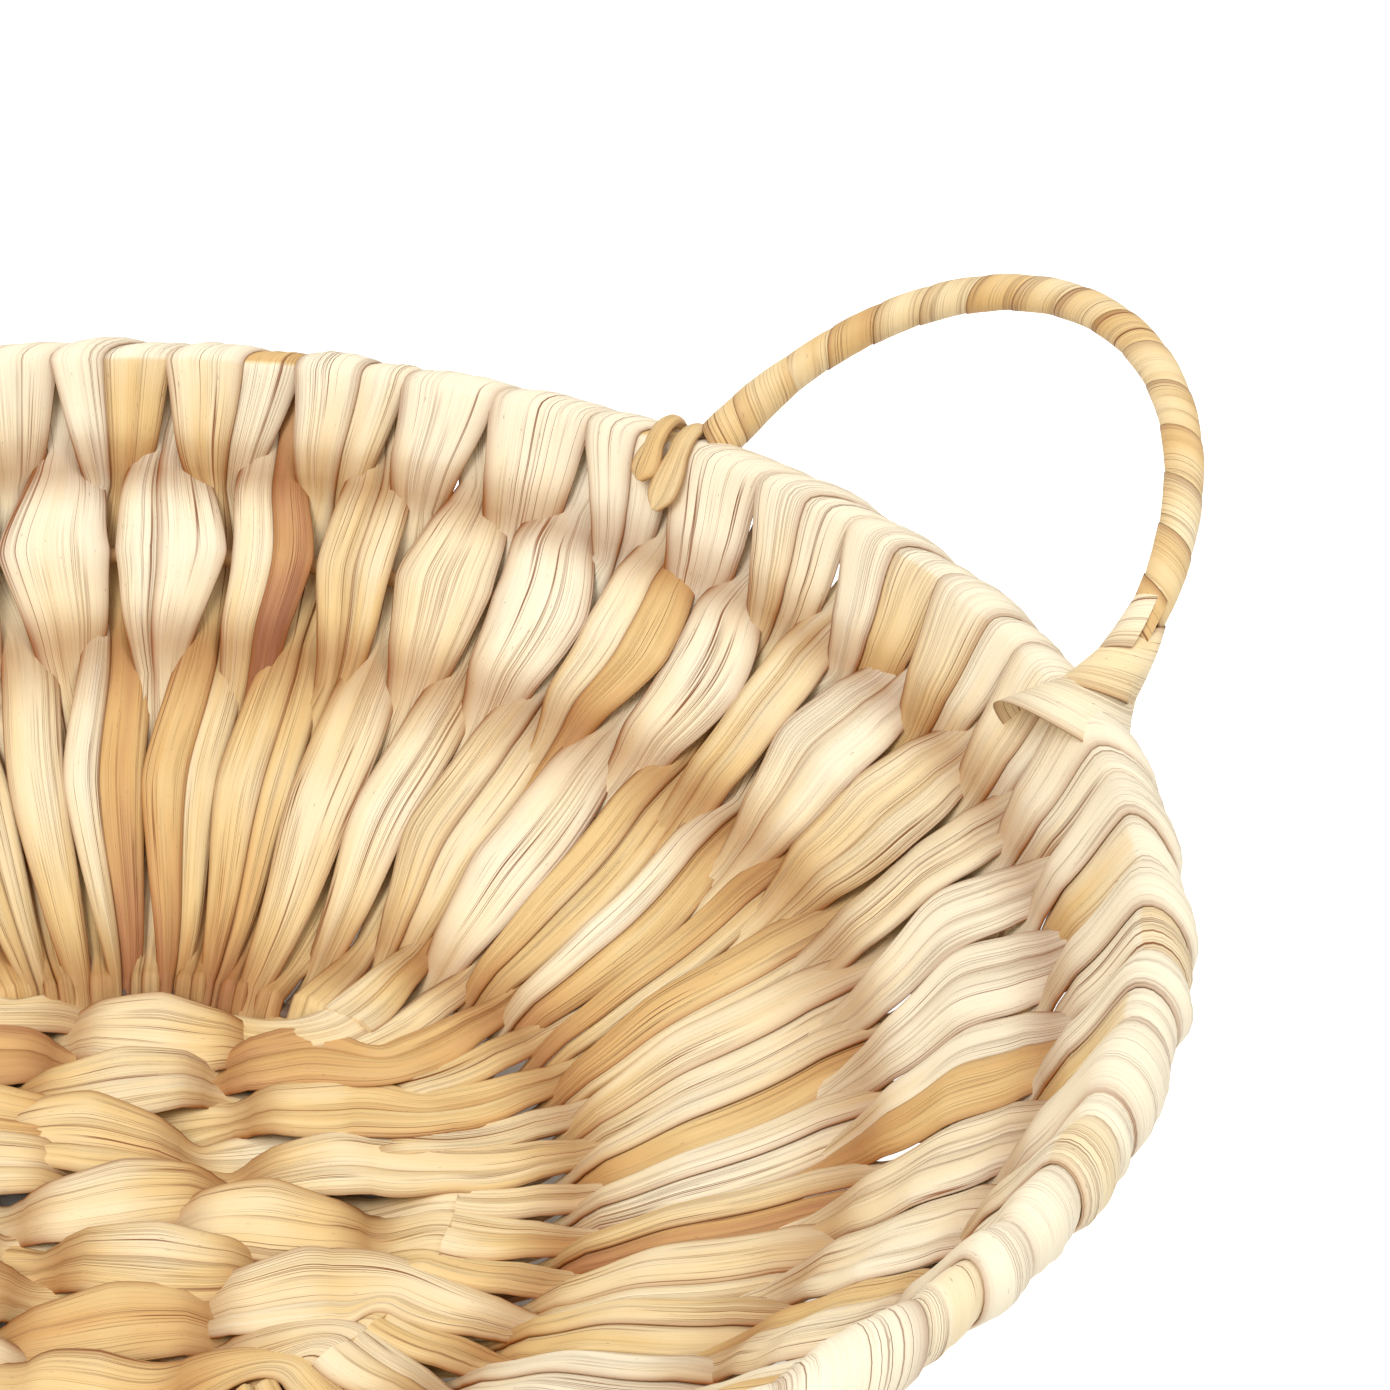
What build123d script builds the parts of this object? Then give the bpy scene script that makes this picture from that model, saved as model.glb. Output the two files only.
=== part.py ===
from build123d import *
import os
from math import asin, ceil, cos, degrees, hypot, pi, radians, sin, sqrt, tan

# A round bowl basket of flattened plant stalks, woven over a frame of steel wire, with two
# wire loop handles wound with leaf strip. The handles stand on +X and -X, and the base rests on z = 0.

# Wire frame: four rings from the base up to the rim
rim_radius = 155.0
upper_hoop_radius = 132.0
lower_hoop_radius = 93.0
base_ring_radius = 54.0
lower_hoop_rise = 18.5
upper_hoop_rise = 48.5
rim_rise = 79.0
ring_wire_radius = 2.0
hoop_wire_radius = 1.5
cross_wire_radius = 1.5
cross_wire_count = 3
cross_wire_spacing = 30.0

# Woven rows: the two legs of a stalk pass each wire on opposite sides, half a row apart
row_count = 44
rows_per_panel = 4
stalk_thickness = 2.6
pinch_thickness = 2.7
stalk_clearance = 0.3
row_cover = 0.94
pinch_cover = 0.44
flat_part = 0.11
pinch_part = 0.37
tail = 0.06

# Base rows run side by side, turned away from the line of the handles
base_row_count = 7
base_row_margin = 2.6
rows_turned = 3.5

# Handles
rows_between_feet = 5
handle_reach = 61.5
handle_lean = 44.6
handle_wire_radius = 1.75
handle_wire_steps = 36
wire_clearance = 0.15
wrap_radius = 3.6
wrap_step = 0.5
wrap_slope = 0.9
wrap_turns = 17
wrap_lean = 20.0
wrap_sides = 10
binding_height = 18.0
binding_radius = 6.5
binding_step = 1.2
binding_waist = 0.35

# Worked-out sizes
pitch = 2 * pi / row_count
ring_radii = (base_ring_radius, lower_hoop_radius, upper_hoop_radius, rim_radius)
ring_wires = (ring_wire_radius, hoop_wire_radius, hoop_wire_radius, ring_wire_radius)
seat = stalk_clearance + stalk_thickness / 2
stalk_bows = [radius * (row_cover * pitch) ** 2 / 8 for radius in ring_radii]
weave_offsets = [wire + bow + seat for wire, bow in zip(ring_wires, stalk_bows)]
base_level = weave_offsets[0] + stalk_thickness / 2
cross_offset = cross_wire_radius + seat
cross_level = cross_offset + stalk_thickness / 2
rim_level = base_level + rim_rise
foot_angle = rows_between_feet * pitch / 2
foot_gap = handle_wire_radius + 3 * stalk_clearance
bore_radius = (handle_wire_radius + wire_clearance) / cos(pi / wrap_sides) / cos(radians(wrap_lean))
foot_slant = cos(radians(handle_lean)) * sin(foot_angle)
foot_base = weave_offsets[3] + stalk_thickness / 2 + binding_radius * foot_slant + 3 * stalk_clearance
base_weave_radius = base_ring_radius - base_row_margin
base_row_pitch = 2 * base_weave_radius / (base_row_count + 0.1)
weave_turn = -degrees(rows_turned * pitch)
ring_levels = (base_level, base_level + lower_hoop_rise, base_level + upper_hoop_rise, rim_level)


def eased(values, s, start):
    """A curve through the four values at s = 0, 1, 2 and 3 that never overshoots them, with its slope.
    Its slope at 0 is start times the first step."""
    steps = [values[k + 1] - values[k] for k in range(3)]
    slopes = [2 * a * b / (a + b) for a, b in zip(steps, steps[1:])]
    slopes = [start * steps[0]] + slopes + [(3 * steps[2] - slopes[1]) / 2]
    k = min(max(int(s), 0), 2)
    t = s - k
    bend, turn = 3 * steps[k] - 2 * slopes[k] - slopes[k + 1], slopes[k] + slopes[k + 1] - 2 * steps[k]
    value = values[k] + slopes[k] * t + bend * t**2 + turn * t**3
    return value, slopes[k] + 2 * bend * t + 3 * turn * t**2


def wall_frame(s):
    """The wall's middle line at s: radius, level, and the up-the-wall direction in (r, z)."""
    radius, radius_slope = eased(ring_radii, s, start=1)
    level, level_slope = eased(ring_levels, s, start=0) if s > 0 else (base_level, 0)
    length = hypot(radius_slope, level_slope)
    return radius, level, radius_slope / length, level_slope / length


def weave(s, first):
    """Which side of its wires a leg is on at s, 1 to -1, and its share of pinch."""
    wire = round(s)
    gap = abs(s - wire)
    ease = min(max((gap - flat_part) / (pinch_part - flat_part), 0), 1)
    drop = min(max((gap - pinch_part) / (0.5 - pinch_part), 0), 1)
    side = (1 - 0.5 * ease - 0.5 * drop) * (1 if wire % 2 == 0 else -1)
    return (side, ease) if first else (-side, ease)


def stations(start, end):
    """The places along a stalk where its section changes."""
    steps = [start]
    for wire in range(int(start) - 1, ceil(end) + 1):
        for part in (-pinch_part, -flat_part, flat_part, pinch_part):
            if start + 0.02 < wire + part < end - 0.02:
                steps.append(wire + part)
    return sorted(steps + [end])


def section(plane, width, thickness):
    with BuildSketch(plane) as face:
        Rectangle(width, thickness)
    return face.sketch


def wall_section(s, first, cut_back):
    """A leg's section on the wall, for the row that stands on +X."""
    radius, level, along_r, along_z = wall_frame(s)
    side, ease = weave(s, first)
    offset = side * weave_offsets[round(s)]
    shift = 0 if first else pitch / 2 * (ease if s > 2.5 else 1)
    cover = row_cover + (pinch_cover - row_cover) * ease
    width = cover * pitch * radius - abs(cut_back) * (1 - ease) * (s > 2.5)
    turn = shift + cut_back / 2 / radius * (1 - ease) * (s > 2.5)
    r, z = radius + offset * along_z, level - offset * along_r
    thickness = stalk_thickness + (pinch_thickness - stalk_thickness) * ease
    up = 1 if first else -1
    plane = Plane(
        origin=(r * cos(turn), r * sin(turn), z),
        x_dir=(-sin(turn), cos(turn), 0),
        z_dir=(up * along_r * cos(turn), up * along_r * sin(turn), up * along_z),
    )
    return section(plane, width, thickness)


def fold_section(swing, cut_back):
    """A stalk's section as it folds over the rim wire, from the inside at 0 to the outside at 180."""
    radius, level, along_r, along_z = wall_frame(3)
    inward, upward = cos(radians(swing)) * weave_offsets[3], sin(radians(swing)) * weave_offsets[3]
    turn = cut_back / 2 / radius
    r = radius - inward * along_z + upward * along_r
    z = level + inward * along_r + upward * along_z
    dir_r = cos(radians(swing)) * along_r + sin(radians(swing)) * along_z
    dir_z = cos(radians(swing)) * along_z - sin(radians(swing)) * along_r
    plane = Plane(
        origin=(r * cos(turn), r * sin(turn), z),
        x_dir=(-sin(turn), cos(turn), 0),
        z_dir=(dir_r * cos(turn), dir_r * sin(turn), dir_z),
    )
    return section(plane, row_cover * pitch * radius - abs(cut_back), stalk_thickness)


def wall_stalk(cut_back=0.0):
    """One stalk: up the wall, over the rim wire, and down the other side of each wire."""
    climb = stations(-tail, 3 - flat_part)
    with BuildPart() as stalk:
        for s in climb:
            add(wall_section(s, True, cut_back))
        for swing in (0, 45, 90, 135, 180):
            add(fold_section(swing, cut_back))
        for s in reversed(climb):
            add(wall_section(s, False, cut_back))
        loft(ruled=True)
    return stalk.part


def base_section(x, y, first):
    """A stalk's section on the base, for a stalk along X at the given y."""
    side, ease = weave(x / cross_wire_spacing, first)
    cover = row_cover + (pinch_cover - row_cover) * ease
    plane = Plane(origin=(x, y, cross_level + side * cross_offset), x_dir=(0, 1, 0), z_dir=(1, 0, 0))
    thickness = stalk_thickness + (pinch_thickness - stalk_thickness) * ease
    return section(plane, cover * base_row_pitch, thickness)


def base_stalk(y, first):
    """One stalk of a base row, ending round the inside of the base ring."""
    reach = sqrt(base_weave_radius**2 - max(abs(y) - base_row_pitch / 2, 0) ** 2)
    steps = stations(-reach / cross_wire_spacing, reach / cross_wire_spacing)
    with BuildPart() as stalk:
        for step in steps:
            add(base_section(step * cross_wire_spacing, y, first))
        loft(ruled=True)
        with BuildSketch(Plane.XY):
            Circle(base_weave_radius)
        extrude(amount=2 * base_level, mode=Mode.INTERSECT)
    return stalk.part


def ring(radius, level, wire_radius):
    """A ring of round wire about Z."""
    with BuildPart() as wire:
        with BuildSketch(Plane.XZ):
            with Locations((radius, level)):
                Circle(wire_radius)
        revolve(axis=Axis.Z)
    return wire.part


def handle_plane(swing):
    """A plane square to the handle's line at the given swing from its first foot."""
    out, up = cos(radians(handle_lean)), sin(radians(handle_lean))
    across, along = half_chord * cos(swing), handle_reach * sin(swing)
    d_across, d_along = -half_chord * sin(swing), handle_reach * cos(swing)
    return Plane(
        origin=(rim_radius * cos(foot_angle) + along * out, across, rim_level + along * up),
        x_dir=(up, 0, -out),
        z_dir=(d_along * out, d_across, d_along * up),
    )


def tube_through(stops):
    """A faceted bar along the handle through (swing, radius, lean) stops."""
    with BuildPart() as bar:
        for swing, radius, lean in stops:
            with BuildSketch(handle_plane(swing).rotated((lean, 0, 0))):
                RegularPolygon(radius, side_count=wrap_sides)
        loft(ruled=True)
    return bar.part


def wound_sleeve(stops):
    """A faceted sleeve along the handle, hollow for the wire."""
    first, last = stops[0], stops[-1]
    over = bore_radius / handle_reach
    core = [(first[0] - over, bore_radius, first[2])]
    core += [(swing, bore_radius, lean) for swing, radius, lean in stops]
    core += [(last[0] + over, bore_radius, last[2])]
    with BuildPart() as sleeve:
        add(tube_through(stops))
        add(tube_through(core), mode=Mode.SUBTRACT)
    return sleeve.part


def save(part, name):
    part.label = name
    export_step(part, f"parts/{name}.step")


os.makedirs("parts", exist_ok=True)
half_chord = rim_radius * sin(foot_angle)

# Rings and cross wires
rim_wire = ring(rim_radius, rim_level, ring_wire_radius)
base_ring = ring(base_ring_radius, base_level, ring_wire_radius)
save(rim_wire, "rim_wire")
save(base_ring, "base_ring")
save(ring(upper_hoop_radius, ring_levels[2], hoop_wire_radius), "upper_hoop")
save(ring(lower_hoop_radius, ring_levels[1], hoop_wire_radius), "lower_hoop")

with BuildPart() as cross_wires:
    for k in range(cross_wire_count):
        x = (k - (cross_wire_count - 1) / 2) * cross_wire_spacing
        with BuildSketch(Plane.XZ.offset(-base_ring_radius)):
            with Locations((x, cross_level)):
                Circle(cross_wire_radius)
        extrude(amount=2 * base_ring_radius)
    with BuildSketch(Plane.XY):
        Circle(base_ring_radius)
    extrude(amount=2 * base_level, mode=Mode.INTERSECT)
    add(base_ring, mode=Mode.SUBTRACT)
save(cross_wires.part.rotate(Axis.Z, weave_turn), "cross_wires")

# Wall panels: rows side by side all round, cut back where a handle's foot stands between two rows
foot_rows = {}
for centre in (0, row_count // 2):
    half = rows_between_feet // 2
    foot_rows[(centre + half) % row_count] = -foot_gap
    foot_rows[(centre + half + 1) % row_count] = foot_gap
    foot_rows[(centre - half) % row_count] = foot_gap
    foot_rows[(centre - half - 1) % row_count] = -foot_gap
patterns = {cut_back: wall_stalk(cut_back) for cut_back in (0, foot_gap, -foot_gap)}
for panel in range(row_count // rows_per_panel):
    stalks = []
    for row in range(panel * rows_per_panel, (panel + 1) * rows_per_panel):
        stalk = patterns[foot_rows.get(row, 0)]
        stalks.append(stalk.rotate(Axis.Z, degrees(row * pitch)).solid())
    save(Compound(stalks), f"wall_panel_{panel + 1:02d}")

# Base rows: two stalks each, half a row apart
for row in range(base_row_count):
    y = (row - (base_row_count - 1) / 2) * base_row_pitch
    pair = [base_stalk(y - base_row_pitch / 4, True), base_stalk(y + base_row_pitch / 4, False)]
    save(Compound([stalk.rotate(Axis.Z, weave_turn).solid() for stalk in pair]), f"base_row_{row + 1}")

# Handles
with BuildPart() as handle_wire:
    swings = [pi * k / handle_wire_steps for k in range(handle_wire_steps + 1)]
    add(tube_through([(swing, handle_wire_radius, 0) for swing in swings]))
    add(rim_wire, mode=Mode.SUBTRACT)

foot_swing, neck_swing = asin(foot_base / handle_reach), asin(binding_height / handle_reach)
wrap_start = neck_swing + (wrap_radius * tan(radians(wrap_lean)) + stalk_clearance) / half_chord
turn_swing = (pi - 2 * wrap_start) / (wrap_turns - 1 + wrap_slope)
wrap_stops = []
for turn in range(wrap_turns):
    start = wrap_start + turn * turn_swing
    wrap_stops += [(start, wrap_radius, wrap_lean)]
    wrap_stops += [(start + wrap_slope * turn_swing, wrap_radius - wrap_step, wrap_lean)]
handle_wrap = wound_sleeve(wrap_stops)
binding_stops = [
    (foot_swing, binding_radius, 0),
    (foot_swing + binding_waist * (neck_swing - foot_swing), binding_radius - binding_step, 0),
    (neck_swing, wrap_radius, 0),
]
binding = wound_sleeve(binding_stops)
for side, turn in (("right", 0), ("left", 180)):
    save(handle_wire.part.rotate(Axis.Z, turn), f"handle_wire_{side}")
    save(handle_wrap.rotate(Axis.Z, turn), f"handle_wrap_{side}")
    save(binding.rotate(Axis.Z, turn), f"foot_binding_{side}_1")
    save(binding.mirror(Plane.XZ).rotate(Axis.Z, turn), f"foot_binding_{side}_2")
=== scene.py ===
from math import cos, hypot, pi, radians, sin

import bmesh
import bpy
import numpy as np
from mathutils import Euler, Matrix, Vector


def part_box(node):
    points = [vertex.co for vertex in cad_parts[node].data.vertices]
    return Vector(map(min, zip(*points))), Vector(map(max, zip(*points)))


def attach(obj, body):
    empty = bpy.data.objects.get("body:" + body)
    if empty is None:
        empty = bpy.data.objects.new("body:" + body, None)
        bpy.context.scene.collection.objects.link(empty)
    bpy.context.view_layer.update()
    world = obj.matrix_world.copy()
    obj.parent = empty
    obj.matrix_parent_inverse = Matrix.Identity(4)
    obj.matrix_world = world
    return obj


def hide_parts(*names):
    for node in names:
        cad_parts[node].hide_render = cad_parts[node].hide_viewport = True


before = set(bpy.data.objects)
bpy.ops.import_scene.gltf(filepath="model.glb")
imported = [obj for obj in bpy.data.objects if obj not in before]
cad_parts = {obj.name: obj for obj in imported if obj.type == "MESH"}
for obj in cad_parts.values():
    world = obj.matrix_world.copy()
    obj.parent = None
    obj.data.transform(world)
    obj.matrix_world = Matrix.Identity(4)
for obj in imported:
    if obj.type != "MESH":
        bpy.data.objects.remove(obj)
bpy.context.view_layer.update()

# A bowl basket of flattened plant stalks, woven over four wire rings, with two wound loop handles.
# Lengths are in metres. A place on the wall has a number s: 0 at the base ring, 1 and 2 at the
# hoops and 3 at the rim. Every wall row is one stalk, folded over the rim like a hairpin. Its inner
# leg is inside the bowl at the rim and the lower hoop, its outer leg at the upper hoop and the base
# ring. A leg is broad, as a lens, where it passes a ring. It is nipped between the rings, where the
# two legs cross.

# Stalks
ROWS_PER_PANEL = 4
STALK_THICKNESS = 0.0024
STALK_SEAT = 0.0002  # between a stalk and the wire under it
STATION = 0.0011  # step along a stalk
NIPPED_THICKNESS = 0.9  # share of the thickness left at a nip
FLAT_SHARE = 0.48  # a stalk's rise over a wire is part plateau, part ridge
FLAT_STEEPNESS = 2.6
RIDGE = 0.23
FOOT_RIDGE = 0.36
LENS_TAPER = 1.35
RIM_TAPER = 1.18
NECK_SHIFT = 0.10  # hides each leg's narrowest place behind its neighbour
SHINGLE = radians(8)

# Widths on the wall as shares of a cell, at the four rings or in the three gaps between them
FRONT_COVER = (1.06, 1.05, 1.04, 1.06)
BACK_COVER = (1.06, 1.12, 1.14, 1.06)
NIP_COVER = (1.08, 1.18, 1.16)
TUCKED_COVER = 0.10  # taken off tucked rows at the upper hoop

# Places on the wall
RING_JITTER = (0.05, 0.38, 0.36, 0.30)
NIP_JITTER = 0.27
NIP_PLACES = (0.5, 1.60, 2.43)
NIP_ORDER = (0.0, 0.0004, -0.0005)  # which leg passes in front
NIP_DEPTH = 0.0002
RIM_LIFT = (-0.0002, 0.0011)
LENS_RISE = 0.0012  # broad lenses stand out further
LENS_RISE_RANGE = (-0.4, 0.5)
LENS_RISE_TOP = 2.6
TUCK_REACH = 0.55
TAIL = 0.12  # how far a leg runs on below the base ring
TAIL_DIVE = 1.7
WALL_CURVE = 1.07  # the wall's line is longer than straight steps between the rings
FOLD_STEPS = 9  # stations over the rim

# Creases along the stalks
FOLDED_SHARE = 0.6
CREASE_RANGE = (-0.55, 0.25)
FOLD_SINK = 0.0008
FOLD_LAP = 0.07
FOLD_SEED = 90

# Tones, from pale to brown
TONE_STEPS = (0.04, 0.11, 0.18, 0.25, 0.33, 0.45)
TONE_ODDS = (0.24, 0.26, 0.22, 0.14, 0.09, 0.05)
LENS_TONE_STEPS = (-0.08, -0.04, 0.0, 0.03, 0.07, 0.14)
RIM_LENS_TONE = 0.4
# Painted light and shade by height, one value for each ring from the base to the rim: browner down in the
# bowl, paler at the open rim
HEIGHT_LIGHT_AND_SHADE = np.array([0.26, 0.09, -0.03, -0.20])
PALE_ROW = -6  # middle of the paler part of the wall
PALE_REACH = 8
PALE_GAIN = 0.15
# Painted light: browner stalks made paler from the upper hoop up to the rim
RIM_PAINTED_LIGHT = 0.5
ACCENT_FADE = 30  # stations over which an accent fades towards the end of its stalk
ACCENT_END = 0.1

# Base
BASE_STALKS = 14
BASE_MARGIN = 0.0026
CROSS_WIRE_SPACING = 0.030
BRIDGE = 0.014
FOOT_STEP = 0.02
BASE_BOW = 0.0050
BASE_EDGE_LIFT = 0.0022
BASE_EDGE_START = 0.75  # share of the radius beyond which a stalk counts as an outer one
BASE_EDGE_WIDER = 0.2
BASE_SLIP = 0.007
BASE_SPREAD = (2.05, 2.6)
BASE_SWAY = (0.7, 1.1)
BASE_TWIST = 0.0024
BASE_NIP_COVER = 1.2
BASE_SHINGLE = radians(11)
BASE_TONE_WAVE = 0.10
RING_SWELL = 0.5
RING_RISE = 0.0004
SWELL_REACH = 0.013
SWELL_UNDER = -0.2  # for every second stalk, which lies under its neighbours
WEAVE_TURN_ROWS = 3.5

# Handles
ROWS_BETWEEN_FEET = 5
HANDLE_WIRE = 0.00175
HANDLE_STATIONS = 2000
STRIP_THICKNESS = 0.0004
STRIP_LEAD = 0.0102
STRIP_WIDTH = 0.0145
STRIP_LAP = 1.3
STRIP_TONE_WAVES = ((0.10, 2.1, 9), (0.06, 5.3, 0))  # size, pace per turn and shift by the seed
TURN_STATIONS = 40
WRAP_RADIUS = 0.0031
BINDING_LENGTH = 0.016
BINDING_LAP = 0.004
FAR_FOOT_START = 0.007
FAR_FOOT_RADII = (0.0040, 0.0036)
COLLAR_RADII = (0.0108, 0.0064, 0.0043, 0.0036)

# Strip ends tied over the rim at a far foot
TIE_LIFT = 0.0054
TIE_THICKNESS = 0.0024
TIE_SWING = radians(130)
TIE_OVER = 14  # stations over the rim
TIE_DOWN = 11  # stations down the wall
TIE_START = 0.55
TIE_NECK = 0.7
TIE_TIP = (0.85, 0.6, 0.25)

# Camera, measured from the middle of the rim
CAMERA_DISTANCE = 0.4112
CAMERA_ELEVATION = 0.5573
CAMERA_AZIMUTH = -pi / 2 - 0.4105
CAMERA_HEADING = -0.2457 - 0.4105
CAMERA_PITCH = 0.5197
CAMERA_ROLL = 0.0924
CAMERA_LENS = 70.22

# Floor and light
FLOOR_SIZE = 8
FLOOR_WHITE = (0.9, 0.9, 0.9, 1)
GLOW_REACH = (0.09, 0.15)  # away from the middle, the floor is lit up for the camera
GLOW = (0.7, 0.7, 0.7, 1)
SKY_STRENGTH = 0.75
LAMPS = (("key", (-0.85, -0.35, 1.05), 0.7, 10.0), ("fill", (0.7, -0.5, 1.2), 0.8, 3.5))
LAMP_AIM = (0, 0, 0.03)

rng = np.random.default_rng(11)


# Sizes read from the frame

def ring_size(node):
    """Radius, level and wire radius of a wire ring."""
    low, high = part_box(node)
    wire = (high.z - low.z) / 2
    return high.x - wire, (low.z + high.z) / 2, wire


RINGS = [ring_size(name) for name in ("base_ring", "lower_hoop", "upper_hoop", "rim_wire")]
RADII, LEVELS, WIRES = (np.array(column) for column in zip(*RINGS))
PANELS = sorted(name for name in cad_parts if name.startswith("wall_panel_"))
BASE_ROWS = sorted(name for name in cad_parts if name.startswith("base_row_"))
ROWS = ROWS_PER_PANEL * len(PANELS)
PITCH = 2 * pi / ROWS
OFFSETS = WIRES + STALK_THICKNESS / 2 + STALK_SEAT
WEAVE_TURN = -WEAVE_TURN_ROWS * PITCH
BASE_PITCH = 2 * (RADII[0] - BASE_MARGIN) / BASE_STALKS
CROSS_LOW, CROSS_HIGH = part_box("cross_wires")
CROSS_LEVEL = (CROSS_LOW.z + CROSS_HIGH.z) / 2
CROSS_WIRE = (CROSS_HIGH.z - CROSS_LOW.z) / 2


# Node trees

class Value:
    """A node's output that can be added, multiplied and so on."""

    def __init__(self, tree, socket):
        self.tree = tree
        self.socket = socket

    def math(self, operation, *others):
        return self.tree.node("ShaderNodeMath", {"operation": operation}, self, *others)

    def __add__(self, other):
        return self.math("ADD", other)

    def __sub__(self, other):
        return self.math("SUBTRACT", other)

    def __mul__(self, other):
        return self.math("MULTIPLY", other)

    def __rsub__(self, other):
        return self.tree.node("ShaderNodeMath", {"operation": "SUBTRACT"}, other, self)

    def __pow__(self, other):
        return self.math("POWER", other)

    def __abs__(self):
        return self.math("ABSOLUTE")

    __radd__ = __add__

    def smooth(self, low, high):
        """0 below low, 1 above high, and a smooth step between."""
        settings = {"interpolation_type": "SMOOTHSTEP"}
        return self.tree.node("ShaderNodeMapRange", settings, self, low, high)


class Tree:
    """A node tree that is filled one node at a time."""

    def __init__(self, nodes):
        self.nodes = nodes.nodes
        self.links = nodes.links

    def node(self, kind, settings=None, *values, out=0, **named):
        node = self.nodes.new(kind)
        for key, value in (settings or {}).items():
            setattr(node, key, value)
        for key, value in list(enumerate(values)) + list(named.items()):
            socket = node.inputs[key if isinstance(key, int) else key.replace("_", " ")]
            if isinstance(value, Value):
                self.links.new(value.socket, socket)
            elif value is not None:
                socket.default_value = value
        return Value(self, node.outputs[out])

    def vector(self, x, y, z):
        return self.node("ShaderNodeCombineXYZ", None, x, y, z)

    def noise(self, vector, scale=1.0, detail=2.0):
        return self.node("ShaderNodeTexNoise", None, Vector=vector, Scale=scale, Detail=detail)


class GeometryTree(Tree):
    """A Geometry Nodes tree with named inputs."""

    def __init__(self, name, inputs):
        self.group = bpy.data.node_groups.new(name, "GeometryNodeTree")
        super().__init__(self.group)
        sockets = self.group.interface
        sockets.new_socket("Geometry", in_out="INPUT", socket_type="NodeSocketGeometry")
        for label, kind in inputs.items():
            sockets.new_socket(label, in_out="INPUT", socket_type=kind)
        sockets.new_socket("Geometry", in_out="OUTPUT", socket_type="NodeSocketGeometry")
        self.entry = self.nodes.new("NodeGroupInput")

    def given(self, label):
        return Value(self, self.entry.outputs[label])

    def attribute(self, name, kind="FLOAT"):
        return self.node("GeometryNodeInputNamedAttribute", {"data_type": kind}, name)

    def store(self, geometry, name, value, kind="FLOAT"):
        settings = {"data_type": kind, "domain": "POINT"}
        return self.node("GeometryNodeStoreNamedAttribute", settings, geometry, None, name, value)

    def vector_math(self, operation, *values):
        return self.node("ShaderNodeVectorMath", {"operation": operation}, *values)

    def scaled(self, vector, factor):
        return self.node("ShaderNodeVectorMath", {"operation": "SCALE"}, Vector=vector, Scale=factor)

    def finish(self, geometry):
        out = self.nodes.new("NodeGroupOutput")
        geometry = self.node("GeometryNodeSetShadeSmooth", None, geometry)
        geometry = self.node("GeometryNodeSetMaterial", None, geometry, Material=self.given("Material"))
        self.links.new(geometry.socket, out.inputs[0])
        return self.group


# Noise of the sweep: scales across a stalk are per half width, scales along it per metre, and the
# shifts by the seed only keep the stalks apart
WANDER_ALONG = 45
WANDER_SEED = 91
WANDER_EDGE = 3
PLEAT_ACROSS = 2.2
PLEAT_ALONG = 8
PLEAT_SEEDS = (37, 53)
PLEAT_GAIN = 3.2
PLEAT_MEAN = 0.4
PLEAT_FADE = 1.5
FINE_ACROSS = 7
FINE_ALONG = 10
FINE_SEED = 71
FINE_GAIN = 0.9
PLUMPNESS = 1.6


def stalk_tree():
    """Sweeps a flattened, pleated section along edge lines that carry their own frame."""
    tree = GeometryTree("Flattened stalk", {
        "Sides": "NodeSocketInt",
        "Pleat depth": "NodeSocketFloat",
        "Edge wander": "NodeSocketFloat",
        "Material": "NodeSocketMaterial",
    })
    position = tree.node("GeometryNodeInputPosition")
    curve = tree.node("GeometryNodeMeshToCurve", None, tree.given("Geometry"))
    curve = tree.store(curve, "spine", position, "FLOAT_VECTOR")
    circle = tree.node("GeometryNodeCurvePrimitiveCircle", {"mode": "RADIUS"},
                       Resolution=tree.given("Sides"), Radius=1.0)
    circle = tree.store(circle, "ring", position, "FLOAT_VECTOR")
    mesh = tree.node("GeometryNodeCurveToMesh", None, curve, circle, Fill_Caps=True)

    ring = tree.attribute("ring", "FLOAT_VECTOR")
    across = tree.node("ShaderNodeSeparateXYZ", None, ring)
    height = tree.node("ShaderNodeSeparateXYZ", None, ring, out=1)
    run, seed = tree.attribute("run"), tree.attribute("seed")
    wander = tree.vector(run * WANDER_ALONG, seed * WANDER_SEED, across.math("SIGN") * WANDER_EDGE)
    wander = tree.noise(wander, detail=1.0)
    width = tree.attribute("half_width") * (1 + (wander - 0.5) * 2 * tree.given("Edge wander"))
    inside = 1 - across * across
    shifts = [seed * shift for shift in PLEAT_SEEDS]
    fold = tree.vector(across * PLEAT_ACROSS + shifts[0], run * PLEAT_ALONG, shifts[1])
    fold = tree.noise(fold, detail=1.0)
    fine = tree.noise(tree.vector(across * FINE_ACROSS, run * FINE_ALONG, seed * FINE_SEED), detail=1.0)
    pleat = abs(fold - 0.5) * PLEAT_GAIN - PLEAT_MEAN + (fine - 0.5) * FINE_GAIN
    pleat = pleat * inside ** PLEAT_FADE * tree.given("Pleat depth")
    plump = height.math("SIGN") * abs(height) ** PLUMPNESS
    lift = plump * tree.attribute("half_thick") + pleat
    aside = tree.scaled(tree.attribute("side", "FLOAT_VECTOR"), across * width)
    bowed = tree.scaled(tree.attribute("bow", "FLOAT_VECTOR"), (across * width) ** 2)
    above = tree.scaled(tree.attribute("face", "FLOAT_VECTOR"), lift)
    place = tree.vector_math("ADD", tree.attribute("spine", "FLOAT_VECTOR"), aside)
    place = tree.vector_math("ADD", tree.vector_math("ADD", place, above), bowed)
    mesh = tree.node("GeometryNodeSetPosition", None, mesh, None, place)
    mesh = tree.store(mesh, "across", across)
    return tree.finish(mesh)


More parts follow.
